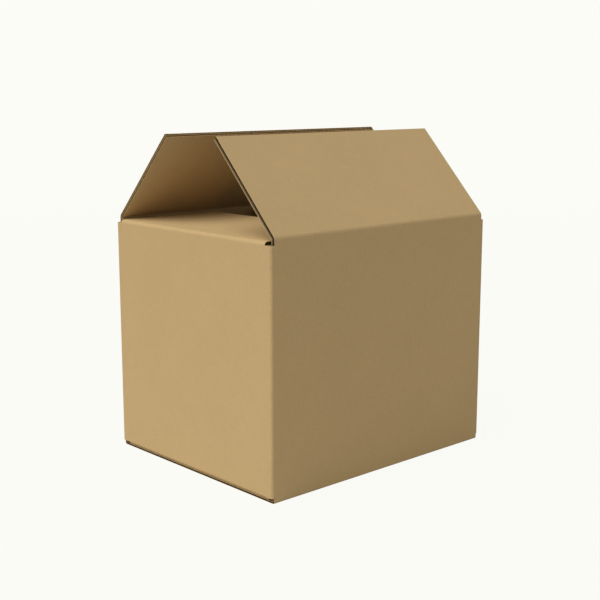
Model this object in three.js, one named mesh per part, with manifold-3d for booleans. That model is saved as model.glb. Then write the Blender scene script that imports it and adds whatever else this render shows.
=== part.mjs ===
// An open regular slotted carton made from one sheet of double wall corrugated board.
// Four panels stand on folded bottom flaps, the short top flaps lie folded in, and the two
// long top flaps lean against the light above them like a tent. All sizes are millimetres.
// X runs along the length, Y across the width and Z up, from the middle of the base.

import * as THREE from 'three';
import { mergeVertices } from 'three/addons/utils/BufferGeometryUtils.js';
import Module from 'manifold-3d';

// Carton, outside
const LENGTH = 412.8;
const WIDTH = 336.4;
const END_FOLD_HEIGHT = 336.8; // top face of the short flaps, folded in

// Board, from its outer face inwards: liner, B flute, liner, C flute, liner
const LINER = 0.4;
const B_FLUTE_HEIGHT = 2.0;
const C_FLUTE_HEIGHT = 3.0;
const B_FLUTE_PITCH = 6.5;
const C_FLUTE_PITCH = 7.8;
const MEDIUM = 0.3; // the fluted paper itself

// Folds and corners
const CORNER_RADIUS = 4.0; // upright corners, outside
const TOP_FOLD_RADIUS = 5.0; // folds of the short top flaps, outside
const BOTTOM_FOLD_RADIUS = 2.5; // folds of the bottom flaps, pressed sharp by the load

// Flaps
const LONG_FLAP_MEETING_GAP = 4.0; // between the long top flaps when they are closed
const BOTTOM_MEETING_GAP = 1.0; // between the long bottom flaps
const SHORT_FLAP_LENGTH = 165.0; // from the end panel's outer face
const FRONT_FLAP_ANGLE = 46.8; // degrees above level
const BACK_FLAP_ANGLE = 46.6;
const FLAP_BELOW_LEVEL = 20.0; // how far a long flap folds out past level, degrees

// Slots between the flaps
const SLOT_IN_END_PANEL = 11.5; // from the long panel's outer face to the short flap's side
const SLOT_IN_LONG_PANEL = 6.4; // from the end panel's outer face to the long flap's side
const BOTTOM_SLOT_IN_LONG_PANEL = 4.0;
const TOP_SLOT_DEPTH = 4.5; // below the short flaps' top face
const BOTTOM_SLOT_DEPTH = 7.5; // above the floor

// Glued lap inside the back right corner
const LAP_WIDTH = 35.0;
const LAP_THICKNESS = 4.2; // the lap's flutes are crushed by the glue press
const LAP_END_MARGIN = 14.0;
const LAP_END_TAPER = 9.0;
const SEAM_GAP = 1.0;

const CLEARANCE = 0.3; // between faces that rest on or turn past each other
const UNCUT_AT_FOLD = 8.0; // flutes are crushed shut this near to a fold

// Worked out from the values above
const BOARD = 3 * LINER + B_FLUTE_HEIGHT + C_FLUTE_HEIGHT;
const HINGE_HEIGHT = END_FOLD_HEIGHT + CLEARANCE + BOARD / 2;
const HINGE_INSET = BOARD / 2;
const SEAT_DISTANCE = BOARD / 2 + CLEARANCE; // from the hinge line to the wall below it
const LONG_FLAP_LENGTH = WIDTH / 2 - HINGE_INSET - LONG_FLAP_MEETING_GAP / 2;
const BOTTOM_FLAP_LENGTH = (WIDTH - BOTTOM_MEETING_GAP) / 2;
const TOP_SLOT_END = END_FOLD_HEIGHT - TOP_SLOT_DEPTH;
const END_FOLD_BASE = BOARD + CLEARANCE; // underside of the short bottom flaps
const LONG_FLAP_WIDTH = LENGTH - 2 * SLOT_IN_LONG_PANEL;
const SHORT_FLAP_WIDTH = WIDTH - 2 * SLOT_IN_END_PANEL;

const KRAFT = new THREE.MeshStandardMaterial({ color: 0xb89a6a, roughness: 0.9, metalness: 0 });

const wasm = await Module();
wasm.setup();

// Turn a closed geometry into a solid that can be joined and cut.
function toSolid(geometry) {
  const bare = geometry.index ? geometry.toNonIndexed() : geometry.clone();
  bare.deleteAttribute('normal');
  bare.deleteAttribute('uv');
  const merged = mergeVertices(bare, 1e-4);
  return new wasm.Manifold(
    new wasm.Mesh({
      numProp: 3,
      vertProperties: new Float32Array(merged.attributes.position.array),
      triVerts: new Uint32Array(merged.index.array),
    })
  );
}

// Turn a solid back into a geometry.
function toGeometry(solid) {
  const mesh = solid.getMesh();
  const geometry = new THREE.BufferGeometry();
  geometry.setAttribute('position', new THREE.BufferAttribute(mesh.vertProperties, 3));
  geometry.setIndex(new THREE.BufferAttribute(mesh.triVerts, 1));
  geometry.computeVertexNormals();
  return geometry;
}

const joined = (solids) => solids.reduce((sum, solid) => sum.add(solid));

// Extrusions of a drawn section. A profile drawn in (y, z) runs along X, centred,
// one drawn in (x, z) runs along Y, and a plan drawn in (x, y) rises along Z.
const ARC_STEPS = 8;
const section = (shape, depth) =>
  new THREE.ExtrudeGeometry(shape, { depth, bevelEnabled: false, curveSegments: ARC_STEPS });

function alongX(shape, length) {
  const turn = new THREE.Matrix4().makeBasis(
    new THREE.Vector3(0, 1, 0),
    new THREE.Vector3(0, 0, 1),
    new THREE.Vector3(1, 0, 0)
  );
  return toSolid(section(shape, length).applyMatrix4(turn).translate(-length / 2, 0, 0));
}

function alongY(shape, length) {
  return toSolid(section(shape, length).rotateX(Math.PI / 2).translate(0, length / 2, 0));
}

function upright(shape, bottom, top) {
  return toSolid(section(shape, top - bottom).translate(0, 0, bottom));
}

const mirrorX = (solid) => solid.mirror([1, 0, 0]);
const mirrorY = (solid) => solid.mirror([0, 1, 0]);

// Plan of the four panels: rounded corners, and at the back right corner the sheet's two
// ends. There the back panel stops at a cut edge, and the right panel turns in behind it.
function panelPlan() {
  const x = LENGTH / 2;
  const y = WIDTH / 2;
  const r = CORNER_RADIUS;
  const plan = new THREE.Shape();
  plan.moveTo(-x + r, -y);
  plan.lineTo(x - r, -y);
  plan.absarc(x - r, -y + r, r, -Math.PI / 2, 0);
  plan.lineTo(x, y - BOARD - r);
  plan.absarc(x - r, y - BOARD - r, r, 0, Math.PI / 2);
  plan.lineTo(x - SEAM_GAP, y - BOARD);
  plan.lineTo(x - SEAM_GAP, y);
  plan.lineTo(-x + r, y);
  plan.absarc(-x + r, y - r, r, Math.PI / 2, Math.PI);
  plan.lineTo(-x, -y + r);
  plan.absarc(-x + r, -y + r, r, Math.PI, 1.5 * Math.PI);
  const inside = new THREE.Path();
  inside.moveTo(-x + BOARD, -y + BOARD);
  inside.lineTo(-x + BOARD, y - BOARD);
  inside.lineTo(x - BOARD, y - BOARD);
  inside.lineTo(x - BOARD, -y + BOARD);
  plan.holes.push(inside);
  return plan;
}

// The lap glued behind the back panel, with its two tapered ends.
function gluedLap() {
  const right = LENGTH / 2 - BOARD;
  const left = right - LAP_WIDTH;
  const low = END_FOLD_BASE + BOARD + LAP_END_MARGIN;
  const high = END_FOLD_HEIGHT - BOARD - LAP_END_MARGIN;
  const outline = new THREE.Shape();
  outline.moveTo(left, low + LAP_END_TAPER);
  outline.lineTo(right + BOARD / 2, low);
  outline.lineTo(right + BOARD / 2, high);
  outline.lineTo(left, high - LAP_END_TAPER);
  outline.closePath();
  const thickness = LAP_THICKNESS + BOARD / 2; // half a board deep in the panel it is glued to
  return alongY(outline, thickness).translate([0, WIDTH / 2 - BOARD / 2 - thickness / 2, 0]);
}

// Section of the left end panel with its short top flap folded in and its bottom flap.
function endPanelProfile() {
  const x = -LENGTH / 2;
  const top = TOP_FOLD_RADIUS;
  const foot = BOTTOM_FOLD_RADIUS;
  const edge = x + SHORT_FLAP_LENGTH;
  const profile = new THREE.Shape();
  profile.moveTo(edge, END_FOLD_HEIGHT);
  profile.lineTo(x + top, END_FOLD_HEIGHT);
  profile.absarc(x + top, END_FOLD_HEIGHT - top, top, Math.PI / 2, Math.PI);
  profile.lineTo(x, END_FOLD_BASE + foot);
  profile.absarc(x + foot, END_FOLD_BASE + foot, foot, Math.PI, 1.5 * Math.PI);
  profile.lineTo(edge, END_FOLD_BASE);
  profile.lineTo(edge, END_FOLD_BASE + BOARD);
  profile.lineTo(x + BOARD, END_FOLD_BASE + BOARD);
  profile.lineTo(x + BOARD, END_FOLD_HEIGHT - BOARD);
  profile.lineTo(edge, END_FOLD_HEIGHT - BOARD);
  profile.closePath();
  return profile;
}

// Section of the front panel. Its top edge is the seat of the hinge fold, sloped outside
// so that the flap can fold out past level. At its foot the long bottom flap turns in.
function frontPanelProfile() {
  const y = -WIDTH / 2;
  const r = BOTTOM_FOLD_RADIUS;
  const fold = THREE.MathUtils.degToRad(FLAP_BELOW_LEVEL);
  const slopeStart = (SEAT_DISTANCE + HINGE_INSET * Math.sin(fold)) / Math.cos(fold);
  const slopeEnd = HINGE_INSET + SEAT_DISTANCE * Math.tan(fold / 2);
  const profile = new THREE.Shape();
  profile.moveTo(y + BOTTOM_FLAP_LENGTH, BOARD);
  profile.lineTo(y + BOARD, BOARD);
  profile.lineTo(y + BOARD, HINGE_HEIGHT - SEAT_DISTANCE);
  profile.lineTo(y + slopeEnd, HINGE_HEIGHT - SEAT_DISTANCE);
  profile.lineTo(y, HINGE_HEIGHT - slopeStart);
  profile.lineTo(y, r);
  profile.absarc(y + r, r, r, Math.PI, 1.5 * Math.PI);
  profile.lineTo(y + BOTTOM_FLAP_LENGTH, 0);
  profile.closePath();
  return profile;
}

// The front panel: the foot is wider than the top, because its slots are shallower.
function frontPanel() {
  const wide = alongX(frontPanelProfile(), LENGTH - 2 * BOTTOM_SLOT_IN_LONG_PANEL);
  const narrow = alongX(frontPanelProfile(), LONG_FLAP_WIDTH);
  const middle = HINGE_HEIGHT / 2;
  const foot = wide.splitByPlane([0, 0, -1], -middle)[0];
  const top = narrow.splitByPlane([0, 0, 1], middle)[0];
  return foot.add(top);
}

// One fluted layer's open cells along a free edge, drawn in (along the edge, through the
// board). A cell stands on one liner and its neighbour hangs from the other.
function fluteCells(width, pitch, height, start) {
  const slope = Math.atan2(height, pitch / 2);
  const halfBase = pitch / 2 - MEDIUM / (2 * Math.sin(slope));
  const rise = halfBase * Math.tan(slope);
  const cells = [];
  const count = Math.floor((2 * width) / pitch);
  for (let i = 0; i <= count; i += 1) {
    const centre = i * (pitch / 2) - width / 2;
    const stands = i % 2 === 0;
    const base = stands ? start : start + height;
    const tip = stands ? base + rise : base - rise;
    const cell = new THREE.Shape();
    cell.moveTo(centre - halfBase, base);
    cell.lineTo(centre, tip);
    cell.lineTo(centre + halfBase, base);
    cell.closePath();
    cells.push(cell);
  }
  return cells;
}

// All the cells of both fluted layers, from z = 0 up to the given depth, with the board's
// outer face at y = 0. The last cells are cut open by the flap's two sides.
function fluteTunnels(width, depth) {
  const bStart = LINER;
  const cStart = LINER + B_FLUTE_HEIGHT + LINER;
  const cells = [
    ...fluteCells(width, B_FLUTE_PITCH, B_FLUTE_HEIGHT, bStart),
    ...fluteCells(width - C_FLUTE_PITCH / 2, C_FLUTE_PITCH, C_FLUTE_HEIGHT, cStart),
  ];
  return wasm.Manifold.compose(cells.map((cell) => upright(cell, 0, depth)));
}

// A long top flap, modelled closed-up straight: hinge line at the origin, the board rising
// along Z, its outer face towards -Y. The root is a half round that turns in the fold.
function longFlap() {
  const half = BOARD / 2;
  const profile = new THREE.Shape();
  profile.moveTo(-half, LONG_FLAP_LENGTH);
  profile.lineTo(-half, 0);
  profile.absarc(0, 0, half, Math.PI, 2 * Math.PI);
  profile.lineTo(half, LONG_FLAP_LENGTH);
  profile.closePath();
  const tunnelDepth = LONG_FLAP_LENGTH - UNCUT_AT_FOLD;
  const tunnels = fluteTunnels(LONG_FLAP_WIDTH, tunnelDepth + BOARD);
  const flap = alongX(profile, LONG_FLAP_WIDTH);
  return toGeometry(flap.subtract(tunnels.translate([0, -half, UNCUT_AT_FOLD])));
}

// The left end panel with its two short flaps, and the flutes of the top one open at its
// free edge. They run down that flap from the crushed fold, below its outer, upper face.
function leftEndPanel() {
  const panel = alongY(endPanelProfile(), SHORT_FLAP_WIDTH);
  const crushed = TOP_FOLD_RADIUS + UNCUT_AT_FOLD;
  const depth = SHORT_FLAP_LENGTH - crushed + BOARD;
  const tunnels = fluteTunnels(SHORT_FLAP_WIDTH, depth).rotate([-90, 0, -90]);
  return panel.subtract(tunnels.translate([crushed - LENGTH / 2, 0, END_FOLD_HEIGHT]));
}

function boxBody() {
  const leftEnd = leftEndPanel();
  const front = frontPanel();
  const solids = [
    upright(panelPlan(), BOTTOM_SLOT_DEPTH, TOP_SLOT_END),
    leftEnd,
    mirrorX(leftEnd),
    front,
    mirrorY(front),
    gluedLap(),
  ];
  return toGeometry(joined(solids));
}

function place(name, geometry, material, parent) {
  const mesh = new THREE.Mesh(geometry, material);
  mesh.name = name;
  parent.add(mesh);
  return mesh;
}

// A long flap stands on its hinge line and leans inwards, its angle counted from level.
function hangFlap(name, side, angle, parent) {
  const hinge = new THREE.Group();
  hinge.position.set(0, side * (WIDTH / 2 - HINGE_INSET), HINGE_HEIGHT);
  hinge.rotation.z = side > 0 ? Math.PI : 0;
  parent.add(hinge);
  const flap = place(name, longFlap(), KRAFT, hinge);
  flap.rotation.x = -THREE.MathUtils.degToRad(90 - angle);
}

const carton = new THREE.Group();
place('box_body', boxBody(), KRAFT, carton);
hangFlap('front_flap', -1, FRONT_FLAP_ANGLE, carton);
hangFlap('back_flap', 1, BACK_FLAP_ANGLE, carton);

export default carton;
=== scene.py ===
"""Dress the double wall corrugated carton: layered board, kraft liners, studio light.

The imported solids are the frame. Every sheet here is built as the real board is: three
liners with two fluted papers between them, swept along the panels and round the folds.
"""

from __future__ import annotations

import logging
import math
from dataclasses import dataclass, field
from enum import Enum

import bmesh
import bpy
from mathutils import Matrix, Vector

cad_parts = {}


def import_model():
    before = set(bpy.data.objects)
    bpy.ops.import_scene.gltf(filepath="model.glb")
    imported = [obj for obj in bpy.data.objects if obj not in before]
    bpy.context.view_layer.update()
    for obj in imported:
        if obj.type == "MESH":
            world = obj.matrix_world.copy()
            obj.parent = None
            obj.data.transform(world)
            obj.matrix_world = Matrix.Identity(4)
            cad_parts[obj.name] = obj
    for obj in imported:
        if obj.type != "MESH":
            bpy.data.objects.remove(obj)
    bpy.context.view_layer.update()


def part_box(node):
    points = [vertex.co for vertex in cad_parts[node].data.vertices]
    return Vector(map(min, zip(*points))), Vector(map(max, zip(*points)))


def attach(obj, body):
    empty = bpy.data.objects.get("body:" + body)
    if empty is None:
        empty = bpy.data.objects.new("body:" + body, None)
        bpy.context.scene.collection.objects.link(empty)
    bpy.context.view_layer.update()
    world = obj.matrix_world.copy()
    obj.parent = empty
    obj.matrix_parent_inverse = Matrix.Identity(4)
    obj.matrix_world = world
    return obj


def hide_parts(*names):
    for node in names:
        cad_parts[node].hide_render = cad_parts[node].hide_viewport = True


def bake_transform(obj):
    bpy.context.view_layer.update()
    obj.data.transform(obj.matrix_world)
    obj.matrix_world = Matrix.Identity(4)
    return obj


LOG = logging.getLogger("carton")
MM = 0.001
FOLD_FACET = 1.5 * MM  # faces narrower than this lie in a fold or a flute, and are smooth
SHARP_EDGE = math.radians(40)
WELD = 0.0005 * MM  # points closer than this are one
HAIR = 0.001 * MM  # keeps two papers that meet edge to edge apart
NEAR = 0.1 * MM  # slack when points are found by their place
GROOVE_SHADE_SHARE = 0.9  # a face in an open groove takes the painted shade when its middle lies within this share of the groove


class Layer(Enum):
    """The papers of double wall board, from the outer face inwards."""

    OUTER_LINER = "outer_liner"
    B_MEDIUM = "b_medium"
    MIDDLE_LINER = "middle_liner"
    C_MEDIUM = "c_medium"
    INNER_LINER = "inner_liner"


class Finish(Enum):
    """How a paper looks, by the number of its material slot; the last two are darker copies of
    the fluting that paint shade.
    """

    LINER = 0
    FLUTING = 1  # deep in the flutes
    CUT = 2  # the last flute beside a cut: a darker copy of the fluting, painted shade in its open flutes
    TORN = 3  # near black: painted shade in an open groove, where the flutes are flattened, and in the notch of a crushed cut


@dataclass(frozen=True)
class Board:
    """Double wall board, in metres."""

    liner: float = 0.4 * MM
    b_height: float = 2.0 * MM
    c_height: float = 3.0 * MM
    b_pitch: float = 6.5 * MM
    c_pitch: float = 7.8 * MM
    medium: float = 0.28 * MM  # thickness of the fluted papers
    wave_points: int = 10

    @property
    def thickness(self) -> float:
        """Whole thickness of the board."""
        return 3 * self.liner + self.b_height + self.c_height

    def depth(self, layer: Layer) -> tuple[float, float]:
        """Depths of a layer's two faces below the board's outer face.

        Args:
            layer: the paper asked for.

        Returns:
            The depth of its outer and its inner face.
        """
        b_top = self.liner
        middle = b_top + self.b_height
        c_top = middle + self.liner
        inner = c_top + self.c_height
        return {
            Layer.OUTER_LINER: (0.0, self.liner),
            Layer.B_MEDIUM: (b_top, middle),
            Layer.MIDDLE_LINER: (middle, c_top),
            Layer.C_MEDIUM: (c_top, inner),
            Layer.INNER_LINER: (inner, inner + self.liner),
        }[layer]

    def pitch(self, layer: Layer) -> float:
        """Length of one wave of a fluted layer."""
        return self.b_pitch if layer is Layer.B_MEDIUM else self.c_pitch

    def is_fluted(self, layer: Layer) -> bool:
        """Whether the layer is one of the two fluted papers."""
        return layer in (Layer.B_MEDIUM, Layer.C_MEDIUM)


@dataclass(frozen=True)
class CutEdge:
    """What a cut along the flutes leaves of the fluted papers, in metres."""

    b_torn: float  # the fine flutes are torn flat, and leave an open groove this deep
    b_up: bool  # the torn flutes lie on the middle liner, not on the outer one, and then the middle liner in the groove takes the painted shade too
    c_back: float  # the coarse flutes stand this far back
    c_pale_then_painted_shade: bool  # along the first stretch the coarse flute takes the liner's paler colour, and past it the painted groove shade


SLOTTED_CUT = CutEdge(3.5 * MM, True, 1.0 * MM, False)
CLEAN_CUT = CutEdge(0.0, True, 1.0 * MM, False)
CRUSHED_CUT = CutEdge(3.5 * MM, False, 0.02 * MM, True)


@dataclass(frozen=True)
class CartonSizes:
    """Sizes of the carton, in metres, with its overall length and width from the frame."""

    length: float
    width: float
    board: Board = Board()
    end_fold_height: float = 336.8 * MM
    corner_radius: float = 4.0 * MM
    top_fold_radius: float = 5.0 * MM
    bottom_fold_radius: float = 2.5 * MM
    hinge_fold_radius: float = 7.5 * MM
    clearance: float = 0.3 * MM
    meeting_gap: float = 4.0 * MM
    bottom_gap: float = 0.1 * MM  # the long bottom flaps butt, and no floor shows between them
    short_flap: float = 165.0 * MM
    slot_in_end: float = 11.5 * MM
    slot_in_long: float = 6.4 * MM
    bottom_slot_in_long: float = 4.0 * MM
    top_slot_depth: float = 4.5 * MM
    bottom_slot_depth: float = 7.5 * MM
    lap_width: float = 35.0 * MM
    lap_thickness: float = 4.2 * MM
    lap_taper: float = 28.0 * MM
    seam_gap: float = 1.0 * MM
    seam_flute: tuple[float, float] = (0.4, 0.55)  # a flute crushed at the seam, by its height
    fold_reach: float = 7.0 * MM  # a top flap's fold bends this far from its hinge line
    front_angle: float = math.radians(46.8)
    back_angle: float = math.radians(46.6)

    @property
    def hinge_height(self) -> float:
        """Height of the line that the long top flaps turn on."""
        return self.end_fold_height + self.clearance + self.board.thickness / 2

    @property
    def long_flap(self) -> float:
        """Length of a long top flap from its hinge line."""
        return (self.width - self.board.thickness - self.meeting_gap) / 2

    @property
    def top_slot_end(self) -> float:
        """Height of the closed end of the top slots."""
        return self.end_fold_height - self.top_slot_depth


@dataclass(frozen=True)
class Kraft:
    """Brown kraft paper: fibres, faint rolled streaks and a dry matt sheen."""

    name: str = "kraft_liner"
    colour: tuple[float, float, float] = (0.503, 0.349, 0.165)
    fibre_depth: float = 0.09
    streak_depth: float = 0.04
    cloud_depth: float = 0.024
    fibre_scale: tuple[float, float, float] = (700.0, 700.0, 1.0)
    streak_scale: tuple[float, float] = (900.0, 60.0)
    cloud_scale: tuple[float, float, float] = (9.0, 9.0, 1.0)
    roughness: float = 0.88
    specular: float = 0.2
    grain_scale: float = 1600.0
    grain_height: float = 0.05 * MM
    bump: float = 0.18

    def material(self) -> bpy.types.Material:
        """Build the node material.

        Returns:
            The finished material.
        """
        mat = bpy.data.materials.new(self.name)
        mat.use_nodes = True
        nodes, links = mat.node_tree.nodes, mat.node_tree.links
        nodes.clear()
        out = nodes.new("ShaderNodeOutputMaterial")
        shader = nodes.new("ShaderNodeBsdfPrincipled")
        shader.inputs["Roughness"].default_value = self.roughness
        shader.inputs["Specular IOR Level"].default_value = self.specular
        links.new(shader.outputs["BSDF"], out.inputs["Surface"])
        place = nodes.new("ShaderNodeAttribute")
        place.attribute_name = "sheet"
        shade = self._streaks(nodes, links, place.outputs["Vector"])
        tint = nodes.new("ShaderNodeMix")
        tint.data_type = "RGBA"
        tint.blend_type = "MULTIPLY"
        tint.inputs["Factor"].default_value = 1.0
        tint.inputs["A"].default_value = (*self.colour, 1.0)
        links.new(shade, tint.inputs["B"])
        links.new(tint.outputs["Result"], shader.inputs["Base Color"])
        grain = nodes.new("ShaderNodeTexNoise")
        grain.inputs["Scale"].default_value = self.grain_scale
        grain.inputs["Detail"].default_value = 4.0
        links.new(place.outputs["Vector"], grain.inputs["Vector"])
        bump = nodes.new("ShaderNodeBump")
        bump.inputs["Strength"].default_value = self.bump
        bump.inputs["Distance"].default_value = self.grain_height
        links.new(grain.outputs["Fac"], bump.inputs["Height"])
        links.new(bump.outputs["Normal"], shader.inputs["Normal"])
        return mat

    def _streaks(
        self,
        nodes: bpy.types.Nodes,
        links: bpy.types.NodeLinks,
        vector: bpy.types.NodeSocket,
    ) -> bpy.types.NodeSocket:
        """Mix rolled streaks both ways, fine fibres and slow clouding to one grey factor.

        Args:
            nodes: the tree's nodes.
            links: the tree's links.
            vector: the sheet coordinates in metres.

        Returns:
            A colour socket near white.
        """
        fine, coarse = self.streak_scale
        total = None
        for stretch, depth in (
            ((fine, coarse, 1.0), self.streak_depth),
            ((coarse, fine, 1.0), self.streak_depth),
            (self.fibre_scale, self.fibre_depth),
            (self.cloud_scale, self.cloud_depth),
        ):
            scale = nodes.new("ShaderNodeMapping")
            scale.inputs["Scale"].default_value = stretch
            links.new(vector, scale.inputs["Vector"])
            noise = nodes.new("ShaderNodeTexNoise")
            noise.inputs["Scale"].default_value = 1.0
            noise.inputs["Detail"].default_value = 3.0
            noise.inputs["Roughness"].default_value = 0.6
            links.new(scale.outputs["Vector"], noise.inputs["Vector"])
            ramp = nodes.new("ShaderNodeMapRange")
            ramp.inputs["From Min"].default_value = 0.25
            ramp.inputs["From Max"].default_value = 0.75
            ramp.inputs["To Min"].default_value = 1.0 - depth
            ramp.inputs["To Max"].default_value = 1.0 + depth
            ramp.clamp = False
            links.new(noise.outputs["Fac"], ramp.inputs["Value"])
            if total is None:
                total = ramp.outputs["Result"]
                continue
            product = nodes.new("ShaderNodeMath")
            product.operation = "MULTIPLY"
            links.new(total, product.inputs[0])
            links.new(ramp.outputs["Result"], product.inputs[1])
            total = product.outputs["Value"]
        grey = nodes.new("ShaderNodeCombineColor")
        for channel in ("Red", "Green", "Blue"):
            links.new(total, grey.inputs[channel])
        return grey.outputs["Color"]


@dataclass
class SheetBuilder:
    """Sweeps a board section along panels and round folds, in one bmesh.

    The section lies across the sheet. A straight stretch is an extrusion, and a fold is a
    stepped turn of the section about the fold's centre. Papers that lie deeper than that
    centre are crushed at a fold, and meet on its mitre line.
    """

    board: Board
    fold_steps: int = 8
    mesh: bmesh.types.BMesh = field(default_factory=bmesh.new)

    def __post_init__(self) -> None:
        """Add the layers that keep each point's place on the flat sheet and its depth."""
        self.sheet = self.mesh.verts.layers.float_vector.new("sheet")
        self.depth = self.mesh.verts.layers.float.new("depth")

    def sweep(
        self,
        layer: Layer,
        width: float,
        start: Vector,
        travel: Vector,
        inward: Vector,
        path: list[tuple[str, float, float]],
        cut: CutEdge = SLOTTED_CUT,
        shift: float = 0.0,
    ) -> None:
        """Sweep one layer of the board.

        Args:
            layer: the paper to sweep.
            width: the sheet's width across the sweep.
            start: the middle of the outer face's first edge.
            travel: the direction of the first stretch.
            inward: from the outer face into the board.
            path: stretches, ("go", length, 0) or ("fold", angle, radius).
            cut: how the sheet's two side edges are cut.
            shift: moves the sheet coordinate along, to keep two sweeps in step.
        """
        across = travel.cross(inward).normalized()
        faces = self._section(layer, width, start, across, inward, cut)
        verts = list({v for f in faces for v in f.verts})
        for v in verts:
            v[self.sheet] = Vector(((v.co - start).dot(across), shift, 0.0))
            v[self.depth] = (v.co - start).dot(inward)
        swept = list(verts)
        centre_depth, mitre = math.inf, 0.0
        for kind, amount, radius in path:
            if kind == "go":
                faces, verts = self._extrude(faces, len(swept) == len(verts))
                self._slide(verts, -travel, centre_depth, mitre)
                bmesh.ops.translate(self.mesh, verts=verts, vec=travel * amount)
                start = start + travel * amount
                self._advance(verts, amount)
                swept += verts
                continue
            centre_depth, mitre = radius, math.tan(amount / 2)
            self._slide(verts, -travel, centre_depth, mitre)
            step = amount / self.fold_steps
            centre = start + inward * radius
            turn = Matrix.Rotation(step, 3, across)
            for _ in range(self.fold_steps):
                faces, verts = self._extrude(faces, len(swept) == len(verts))
                free = [v for v in verts if v[self.depth] <= radius]
                bmesh.ops.rotate(self.mesh, verts=free, cent=centre, matrix=turn)
                self._advance(verts, abs(step) * radius)
                swept += verts
                start = centre + turn @ (start - centre)
                travel = turn @ travel
                inward = turn @ inward
        swept = [v for v in swept if v.is_valid]
        for face in {f for v in swept for f in v.link_faces}:
            finish = self._finish_of(face, layer, width, path[0][1], cut)
            face.material_index = finish.value
        bmesh.ops.remove_doubles(self.mesh, verts=swept, dist=WELD)

    def _finish_of(
        self, face: bmesh.types.BMFace, layer: Layer, width: float, first: float, cut: CutEdge
    ) -> Finish:
        """Find the finish of a face: the dark finishes paint the shade of open grooves and of
        the flutes beside a cut.

        Args:
            face: a face of the swept layer.
            layer: the layer it belongs to.
            width: the sheet's width across the sweep.
            first: the length of the first stretch.
            cut: how the sheet's two side edges are cut.

        Returns:
            The finish.
        """
        beside = width / 2 - sum(abs(v[self.sheet].x) for v in face.verts) / len(face.verts)
        groove = layer is Layer.B_MEDIUM or (layer is Layer.MIDDLE_LINER and cut.b_up)
        # papers in an open groove take the near black painted shade
        if groove and beside < GROOVE_SHADE_SHARE * cut.b_torn:
            return Finish.TORN
        if not self.board.is_fluted(layer):
            return Finish.LINER
        # a crushed cut's coarse flute takes the liner's colour along the first stretch, and the
        # painted shade past it
        if layer is Layer.C_MEDIUM and cut.c_pale_then_painted_shade:
            along = max(v[self.sheet].y for v in face.verts)
            return Finish.LINER if along < first + NEAR else Finish.TORN
        # the flutes nearest a cut take a darker copy of the fluting, painted shade in their
        # open ends
        return Finish.CUT if beside < cut.c_back + self.board.c_pitch / 2 else Finish.FLUTING

    def _slide(
        self, verts: list[bmesh.types.BMVert], way: Vector, centre_depth: float, mitre: float
    ) -> None:
        """Move the crushed papers of a section back, to or from a fold's mitre line.

        Args:
            verts: the section's points.
            way: the direction to move in.
            centre_depth: the depth of the fold's centre.
            mitre: the slope of the mitre line.
        """
        for v in verts:
            v.co += way * max(v[self.depth] - centre_depth, 0.0) * mitre

    def _advance(self, verts: list[bmesh.types.BMVert], amount: float) -> None:
        """Move the sheet coordinate of new points along by an amount."""
        for v in verts:
            v[self.sheet] = v[self.sheet] + Vector((0.0, amount, 0.0))

    def _extrude(
        self, faces: list[bmesh.types.BMFace], keep: bool
    ) -> tuple[list[bmesh.types.BMFace], list[bmesh.types.BMVert]]:
        """Extrude the end faces in place.

        Args:
            faces: the end faces.
            keep: leave the old faces, as the sweep's closed start.

        Returns:
            The new end faces and their points.
        """
        made = bmesh.ops.extrude_face_region(self.mesh, geom=faces)["geom"]
        if not keep:
            bmesh.ops.delete(self.mesh, geom=faces, context="FACES")
        new_faces = [g for g in made if isinstance(g, bmesh.types.BMFace)]
        new_verts = [g for g in made if isinstance(g, bmesh.types.BMVert)]
        return new_faces, new_verts

    def _section(
        self,
        layer: Layer,
        width: float,
        start: Vector,
        across: Vector,
        inward: Vector,
        cut: CutEdge,
    ) -> list[bmesh.types.BMFace]:
        """Lay one layer's cut face across the sheet.

        A fluted layer is a strip of whole waves. The middle liner has a strip of its own
        beside each torn cut, which takes the painted groove shade.

        Args:
            layer: the paper.
            width: the sheet's width.
            start: the middle of the outer face's edge.
            across: the direction across the sheet.
            inward: from the outer face into the board.
            cut: how the sheet's two side edges are cut.

        Returns:
            The faces of the section.
        """
        board = self.board
        low, high = board.depth(layer)
        fluted = board.is_fluted(layer)
        torn = cut.b_torn if layer is Layer.B_MEDIUM else 0.0
        width -= 2 * cut.c_back if layer is Layer.C_MEDIUM else 0.0
        waved = 1.0 - 2 * torn / width
        waves = round(waved * width / board.pitch(layer))
        steps = round(waves * board.wave_points / waved) if fluted else 1
        stripped = layer is Layer.MIDDLE_LINER and cut.b_torn > 0.0
        if stripped:
            steps = 3
        half = 0.5
        made = bmesh.ops.create_grid(
            self.mesh, x_segments=steps, y_segments=1, size=half
        )["verts"]
        for v in made:
            if stripped and abs(v.co.x) < half / 2:
                v.co.x = math.copysign(half - cut.b_torn / width, v.co.x)
            along, side = v.co.x * width, v.co.y + half
            depth = low + side * (high - low)
            if fluted:
                reach = high - low - board.medium
                place = min(max((v.co.x + waved / 2) / waved, 0.0), 1.0)
                wave = math.cos(place * waves * math.tau)
                lying = layer is Layer.B_MEDIUM and not cut.b_up
                closing = layer is Layer.C_MEDIUM and abs(v.co.x) < half - half / steps
                if lying or closing:
                    wave = -wave
                depth = low + reach * (1.0 + wave) / 2 + side * board.medium
            v.co = start + across * along + inward * depth
        return list({f for v in made for f in v.link_faces})

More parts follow.
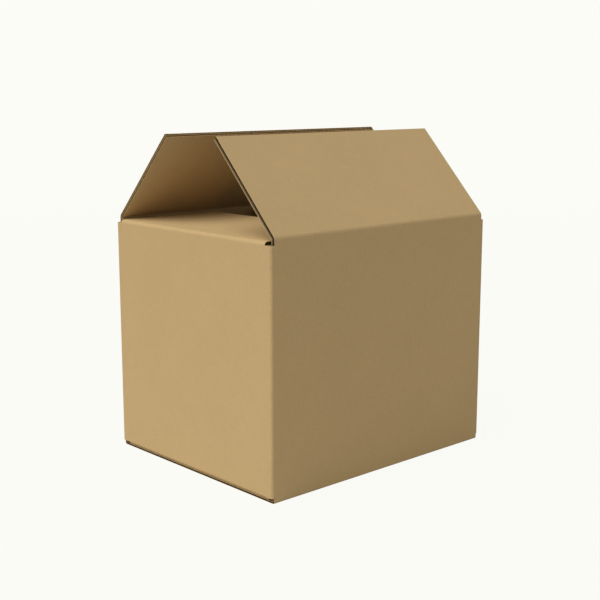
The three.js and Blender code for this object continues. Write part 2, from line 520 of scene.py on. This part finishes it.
    def finish(self, name: str, finishes: list[bpy.types.Material]) -> bpy.types.Object:
        """Close the mesh and make its object.

        Args:
            name: the object's name.
            finishes: the material of each finish, in order.

        Returns:
            The linked object.
        """
        bmesh.ops.recalc_face_normals(self.mesh, faces=self.mesh.faces)
        data = bpy.data.meshes.new(name)
        for face in self.mesh.faces:
            face.smooth = min(e.calc_length() for e in face.edges) < FOLD_FACET
        for edge in self.mesh.edges:
            edge.smooth = edge.calc_face_angle(0.0) < SHARP_EDGE
        self.mesh.to_mesh(data)
        self.mesh.free()
        for finish in finishes:
            data.materials.append(finish)
        piece = bpy.data.objects.new(name, data)
        bpy.context.scene.collection.objects.link(piece)
        return piece


@dataclass
class LongSide:
    """A long panel with its bottom flap and its hinged top flap, as one sheet."""

    name: str
    node: str
    body: str
    side: float
    angle: float
    top_cut: CutEdge
    sizes: CartonSizes
    finishes: list[bpy.types.Material]

    def build(self) -> bpy.types.Object:
        """Sweep the sheet from the middle of the base to the top flap's free edge.

        Returns:
            The sheet, with its top flap folded at the hinge line.
        """
        s = self.sizes
        builder = SheetBuilder(s.board)
        turn = math.pi / 2 - self.angle
        tangent = s.hinge_fold_radius * math.tan(turn / 2)
        corner = s.hinge_height + s.board.thickness / 2 * math.tan(turn / 2)
        split = s.end_fold_height / 2
        flap = s.long_flap + s.board.thickness / 2 * math.tan(turn / 2)
        foot = (s.width - s.bottom_gap) / 2 - s.bottom_fold_radius
        bare = s.slot_in_end - s.bottom_fold_radius  # of the flap's edge, out in the slot
        inward = Vector((0.0, -self.side, 0.0))
        out = -inward
        face_y = self.side * s.width / 2
        for layer in Layer:
            builder.sweep(
                layer,
                s.length - 2 * s.bottom_slot_in_long,
                Vector((0.0, self.side * s.bottom_gap / 2, 0.0)),
                out,
                Vector((0.0, 0.0, 1.0)),
                [("go", foot - bare, 0.0), ("go", bare, 0.0),
                 ("fold", math.pi / 2, s.bottom_fold_radius),
                 ("go", split - s.bottom_fold_radius, 0.0)],
                CRUSHED_CUT,
            )
            builder.sweep(
                layer,
                s.length - 2 * s.slot_in_long,
                Vector((0.0, face_y, split)),
                Vector((0.0, 0.0, 1.0)),
                inward,
                [("go", corner - tangent - split, 0.0), ("fold", turn, s.hinge_fold_radius),
                 ("go", flap - tangent, 0.0)],
                self.top_cut,
                shift=foot + split + s.bottom_fold_radius * (math.pi / 2 - 1.0),
            )
        piece = builder.finish(self.name, self.finishes)
        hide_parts(self.node, "box_body")
        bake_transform(piece)
        LOG.info("%s: %d faces", self.name, len(piece.data.polygons))
        return piece


@dataclass
class EndSide:
    """An end panel with its folded top flap and its closed bottom flap, as one sheet."""

    name: str
    side: float
    sizes: CartonSizes
    finishes: list[bpy.types.Material]

    def build(self) -> bpy.types.Object:
        """Sweep the sheet from the bottom flap's free edge to the top flap's.

        Returns:
            The sheet, which rides on the carton.
        """
        s = self.sizes
        builder = SheetBuilder(s.board)
        base = s.board.thickness + s.clearance
        rise = s.end_fold_height - base
        edge_x = self.side * (s.length / 2 - s.short_flap)
        for layer in Layer:
            builder.sweep(
                layer,
                s.width - 2 * s.slot_in_end,
                Vector((edge_x, 0.0, base)),
                Vector((self.side, 0.0, 0.0)),
                Vector((0.0, 0.0, 1.0)),
                [("go", s.short_flap - s.bottom_fold_radius, 0.0),
                 ("fold", math.pi / 2, s.bottom_fold_radius),
                 ("go", rise - s.bottom_fold_radius - s.top_fold_radius, 0.0),
                 ("fold", math.pi / 2, s.top_fold_radius),
                 ("go", s.short_flap - s.top_fold_radius, 0.0)],
            )
        piece = builder.finish(self.name, self.finishes)
        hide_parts("box_body")
        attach(piece, "carton")
        LOG.info("%s: %d faces", self.name, len(piece.data.polygons))
        return piece


@dataclass
class CornerPath:
    """The outer face's line in plan round one upright corner."""

    corner: Vector
    radius: float
    end_margin: float
    long_margin: float
    arc_steps: int = 12

    def points(self, depth: float) -> list[Vector]:
        """Give the line moved inwards by a depth, from the end panel to the long one.

        Args:
            depth: how far below the board's outer face.

        Returns:
            Points in plan, at z = 0.
        """
        sx, sy = math.copysign(1.0, self.corner.x), math.copysign(1.0, self.corner.y)
        r = self.radius
        centre = self.corner - Vector((sx * r, sy * r, 0.0))
        line = [self.corner - Vector((sx * depth, sy * self.end_margin, 0.0))]
        inner = max(r - depth, 0.0)
        mitre = max(depth - r, 0.0)
        pivot = centre - Vector((sx * mitre, sy * mitre, 0.0))
        for i in range(self.arc_steps + 1):
            a = i / self.arc_steps * math.pi / 2
            line.append(pivot + inner * Vector((sx * math.cos(a), sy * math.sin(a), 0.0)))
        line.append(self.corner - Vector((sx * self.long_margin, sy * depth, 0.0)))
        return line


@dataclass
class Corners:
    """The upright corners between the slots, and the glued lap at the back right one."""

    sizes: CartonSizes
    finishes: list[bpy.types.Material]

    def build(self) -> bpy.types.Object:
        """Build the three plain corners and the seam corner as one piece.

        Returns:
            The corners.
        """
        s = self.sizes
        mesh = bmesh.new()
        split = s.end_fold_height / 2
        for sx, sy in ((-1, -1), (1, -1), (-1, 1)):
            corner = Vector((sx * s.length / 2, sy * s.width / 2, 0.0))
            for low, high, margin in (
                (s.bottom_slot_depth, split, s.bottom_slot_in_long),
                (split, s.top_slot_end, s.slot_in_long),
            ):
                path = CornerPath(corner, s.corner_radius, s.slot_in_end, margin + HAIR)
                for layer in Layer:
                    self._band(mesh, path, layer, low, high)
        self._seam(mesh, split)
        builder = SheetBuilder(s.board, mesh=mesh)
        for v in mesh.verts:
            v[builder.sheet] = Vector((v.co.x + v.co.y, v.co.z, 0.0))
        piece = builder.finish("corner_folds", self.finishes)
        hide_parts("box_body")
        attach(piece, "carton")
        LOG.info("corner_folds: %d faces", len(piece.data.polygons))
        return piece

    def _band(
        self,
        mesh: bmesh.types.BMesh,
        path: CornerPath,
        layer: Layer,
        low: float,
        high: float,
        squeeze: float = 1.0,
    ) -> None:
        """Raise one layer of a corner between two heights.

        Args:
            mesh: the mesh to add to.
            path: the corner's outer line.
            layer: the paper.
            low: height of its foot.
            high: height of its top.
            squeeze: how far the board is crushed, 1 for not at all.
        """
        near, far = (d * squeeze for d in self.sizes.board.depth(layer))
        outer, inner = path.points(near), path.points(far)
        ring = [mesh.verts.new(p + Vector((0.0, 0.0, low))) for p in outer + inner[::-1]]
        count = len(outer)
        faces = []
        for i in range(count - 1):
            j = 2 * count - 2 - i
            faces.append(mesh.faces.new((ring[i], ring[i + 1], ring[j], ring[j + 1])))
            faces[-1].material_index = self._slot_of(layer)
        made = bmesh.ops.extrude_face_region(mesh, geom=faces)["geom"]
        top = [g for g in made if isinstance(g, bmesh.types.BMVert)]
        bmesh.ops.translate(mesh, verts=top, vec=(0.0, 0.0, high - low))
        bmesh.ops.remove_doubles(mesh, verts=ring + top, dist=WELD)

    def _slot_of(self, layer: Layer) -> int:
        """Number of the material slot of a layer at a corner; a fluted layer takes the painted
        shade of a cut's open flutes.
        """
        fluted = self.sizes.board.is_fluted(layer)
        return (Finish.CUT if fluted else Finish.LINER).value

    def _seam(self, mesh: bmesh.types.BMesh, split: float) -> None:
        """Add the sheet's two ends: the back panel's raw edge over the right panel's lap.

        Args:
            mesh: the mesh to add to.
            split: the height at which the back panel's edge steps.
        """
        s = self.sizes
        t = s.board.thickness
        corner = Vector((s.length / 2, s.width / 2 - t, 0.0))
        squeeze = s.lap_thickness / t
        margin = s.slot_in_end - t
        lap = CornerPath(corner, s.corner_radius, margin, t + s.lap_width)
        for layer in Layer:
            self._band(mesh, lap, layer, s.bottom_slot_depth, s.top_slot_end, squeeze)
        lap_end = corner.x - t - s.lap_width
        for v in mesh.verts:
            if v.co.y > 0.0 and abs(v.co.x - lap_end) < NEAR:
                v.co.z += math.copysign(s.lap_taper, split - v.co.z)
        for low, high, inset in (
            (s.bottom_slot_depth, split, s.bottom_slot_in_long),
            (split, s.top_slot_end, s.slot_in_long),
        ):
            for layer in Layer:
                near, far = s.board.depth(layer)
                if s.board.is_fluted(layer):
                    near, far = (near + (far - near) * share for share in s.seam_flute)
                width = inset - s.seam_gap
                at = Matrix.Translation(
                    (s.length / 2 - s.seam_gap - width / 2, s.width / 2 - (near + far) / 2,
                     (low + high) / 2)
                )
                size = Matrix.Diagonal((width, far - near, high - low, 1.0))
                strip = bmesh.ops.create_cube(mesh, size=1.0, matrix=at @ size)["verts"]
                for face in {f for v in strip for f in v.link_faces}:
                    face.material_index = self._slot_of(layer)


@dataclass
class Studio:
    """The pale floor, the soft lights and the camera."""

    paper: tuple[float, float, float] = (0.973, 0.973, 0.930)
    ambient: float = 0.27
    sun: float = 2.9
    sun_angle: float = math.radians(62)
    sun_from: tuple[float, float, float] = (-0.532, -0.01, 0.745)
    floor_colour: tuple[float, float, float] = (0.66, 0.66, 0.635)
    floor_lift: float = 0.97  # how far the floor is lifted to the background for the camera
    floor_size: float = 12.0
    floor_gap: float = 0.2 * MM
    fade: tuple[float, float] = (1.6, 4.5)  # the floor fades out between these distances
    camera_place: tuple[float, float, float] = (-1.0917, -1.1880, 0.5246)
    camera_yaw: float = math.radians(47.526)
    camera_pitch: float = math.radians(10.845)
    view_angle: float = math.radians(30.0)

    def build(self) -> None:
        """Set up the whole studio."""
        scene = bpy.context.scene
        scene.view_settings.view_transform = "Standard"
        self._world(scene)
        self._sun(scene)
        self._floor(scene)
        self._camera(scene)

    def _world(self, scene: bpy.types.Scene) -> None:
        """Add a plain world: pale to the camera, even light to everything else.

        Args:
            scene: the scene to set up.
        """
        world = bpy.data.worlds.new("studio")
        scene.world = world
        world.use_nodes = True
        nodes, links = world.node_tree.nodes, world.node_tree.links
        nodes.clear()
        out = nodes.new("ShaderNodeOutputWorld")
        mix = nodes.new("ShaderNodeMixShader")
        light = nodes.new("ShaderNodeBackground")
        light.inputs["Color"].default_value = (1.0, 1.0, 1.0, 1.0)
        light.inputs["Strength"].default_value = self.ambient
        seen = nodes.new("ShaderNodeBackground")
        seen.inputs["Color"].default_value = (*self.paper, 1.0)
        links.new(self._seen(nodes, links), mix.inputs["Fac"])
        links.new(light.outputs["Background"], mix.inputs[1])
        links.new(seen.outputs["Background"], mix.inputs[2])
        links.new(mix.outputs["Shader"], out.inputs["Surface"])

    def _seen(self, nodes: bpy.types.Nodes, links: bpy.types.NodeLinks) -> bpy.types.NodeSocket:
        """Tell the rays that show the background: camera, glossy and transmission.

        Args:
            nodes: the tree's nodes.
            links: the tree's links.

        Returns:
            A socket that is one for such a ray, and otherwise nought.
        """
        rays = nodes.new("ShaderNodeLightPath")
        seen = rays.outputs["Is Camera Ray"]
        for kind in ("Is Glossy Ray", "Is Transmission Ray"):
            either = nodes.new("ShaderNodeMath")
            either.operation = "MAXIMUM"
            links.new(seen, either.inputs[0])
            links.new(rays.outputs[kind], either.inputs[1])
            seen = either.outputs["Value"]
        return seen

    def _sun(self, scene: bpy.types.Scene) -> None:
        """Add one broad soft key light from the left and above.

        Args:
            scene: the scene to set up.
        """
        data = bpy.data.lights.new("key", "SUN")
        data.energy = self.sun
        data.angle = self.sun_angle
        lamp = bpy.data.objects.new("key", data)
        lamp.rotation_euler = Vector(self.sun_from).to_track_quat("Z", "Y").to_euler()
        scene.collection.objects.link(lamp)

    def _floor(self, scene: bpy.types.Scene) -> None:
        """Add a pale floor just under the box, that keeps its shadow and fades out far away.

        Args:
            scene: the scene to set up.
        """
        mesh = bmesh.new()
        drop = Matrix.Translation((0.0, 0.0, -self.floor_gap))
        bmesh.ops.create_circle(
            mesh, cap_ends=True, segments=96, radius=self.floor_size / 2, matrix=drop
        )
        data = bpy.data.meshes.new("floor")
        mesh.to_mesh(data)
        mesh.free()
        floor = bpy.data.objects.new("floor", data)
        scene.collection.objects.link(floor)
        data.materials.append(self._floor_material())

    def _floor_material(self) -> bpy.types.Material:
        """White diffuse paper, lifted towards the background where it is seen.

        It is clear from underneath, so that the box's base can be looked at.

        Returns:
            The floor's material.
        """
        mat = bpy.data.materials.new("floor_paper")
        mat.use_nodes = True
        nodes, links = mat.node_tree.nodes, mat.node_tree.links
        nodes.clear()
        out = nodes.new("ShaderNodeOutputMaterial")
        diffuse = nodes.new("ShaderNodeBsdfDiffuse")
        diffuse.inputs["Color"].default_value = (*self.floor_colour, 1.0)
        glow = nodes.new("ShaderNodeEmission")
        glow.inputs["Color"].default_value = (*self.paper, 1.0)
        lift = nodes.new("ShaderNodeMix")
        lift.data_type = "FLOAT"
        lift.inputs["A"].default_value = 0.0
        lift.inputs["B"].default_value = self.floor_lift
        links.new(self._seen(nodes, links), lift.inputs["Factor"])
        place = nodes.new("ShaderNodeTexCoord")
        length = nodes.new("ShaderNodeVectorMath")
        length.operation = "LENGTH"
        links.new(place.outputs["Object"], length.inputs[0])
        fade = nodes.new("ShaderNodeMapRange")
        fade.interpolation_type = "SMOOTHSTEP"
        fade.inputs["From Min"].default_value = self.fade[0]
        fade.inputs["From Max"].default_value = self.fade[1]
        links.new(length.outputs["Value"], fade.inputs["Value"])
        shade = nodes.new("ShaderNodeMixShader")
        links.new(lift.outputs["Result"], shade.inputs["Fac"])
        links.new(diffuse.outputs["BSDF"], shade.inputs[1])
        links.new(glow.outputs["Emission"], shade.inputs[2])
        under = nodes.new("ShaderNodeNewGeometry")
        hidden = nodes.new("ShaderNodeMath")
        hidden.operation = "MAXIMUM"
        links.new(fade.outputs["Result"], hidden.inputs[0])
        links.new(under.outputs["Backfacing"], hidden.inputs[1])
        clear = nodes.new("ShaderNodeBsdfTransparent")
        ends = nodes.new("ShaderNodeMixShader")
        links.new(hidden.outputs["Value"], ends.inputs["Fac"])
        links.new(shade.outputs["Shader"], ends.inputs[1])
        links.new(clear.outputs["BSDF"], ends.inputs[2])
        links.new(ends.outputs["Shader"], out.inputs["Surface"])
        return mat

    def _camera(self, scene: bpy.types.Scene) -> None:
        """Set the camera at the photograph's place, height and angle.

        Args:
            scene: the scene to set up.
        """
        data = bpy.data.cameras.new("camera")
        data.sensor_width = 36.0
        data.angle = self.view_angle
        camera = bpy.data.objects.new("camera", data)
        camera.location = self.camera_place
        look = Vector(
            (
                math.cos(self.camera_pitch) * math.cos(self.camera_yaw),
                math.cos(self.camera_pitch) * math.sin(self.camera_yaw),
                -math.sin(self.camera_pitch),
            )
        )
        camera.rotation_mode = "QUATERNION"
        camera.rotation_quaternion = look.to_track_quat("-Z", "Y")
        scene.collection.objects.link(camera)
        scene.camera = camera


def main() -> None:
    """Load the frame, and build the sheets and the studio."""
    logging.basicConfig(level=logging.INFO, format="%(name)s: %(message)s")
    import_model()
    low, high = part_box("box_body")
    sizes = CartonSizes(length=high[0] - low[0], width=high[1] - low[1])
    finishes = [
        Kraft().material(),
        Kraft("fluting", (0.32, 0.22, 0.104)).material(),
        # the last two are darker copies of the fluting: painted shade beside cuts and in open
        # grooves
        Kraft("cut_fluting_painted_shade", (0.13, 0.089, 0.041)).material(),
        Kraft("groove_painted_shade", (0.035, 0.023, 0.010)).material(),
    ]
    for name, side, angle, cut in (
        ("front", -1.0, sizes.front_angle, SLOTTED_CUT),
        ("back", 1.0, sizes.back_angle, CLEAN_CUT),
    ):
        LongSide(
            f"{name}_sheet", f"{name}_flap", f"{name}_lid", side, angle, cut, sizes, finishes
        ).build()
    EndSide("left_end_sheet", -1.0, sizes, finishes).build()
    EndSide("right_end_sheet", 1.0, sizes, finishes).build()
    Corners(sizes, finishes).build()
    Studio().build()


if __name__ == "__main__":
    main()
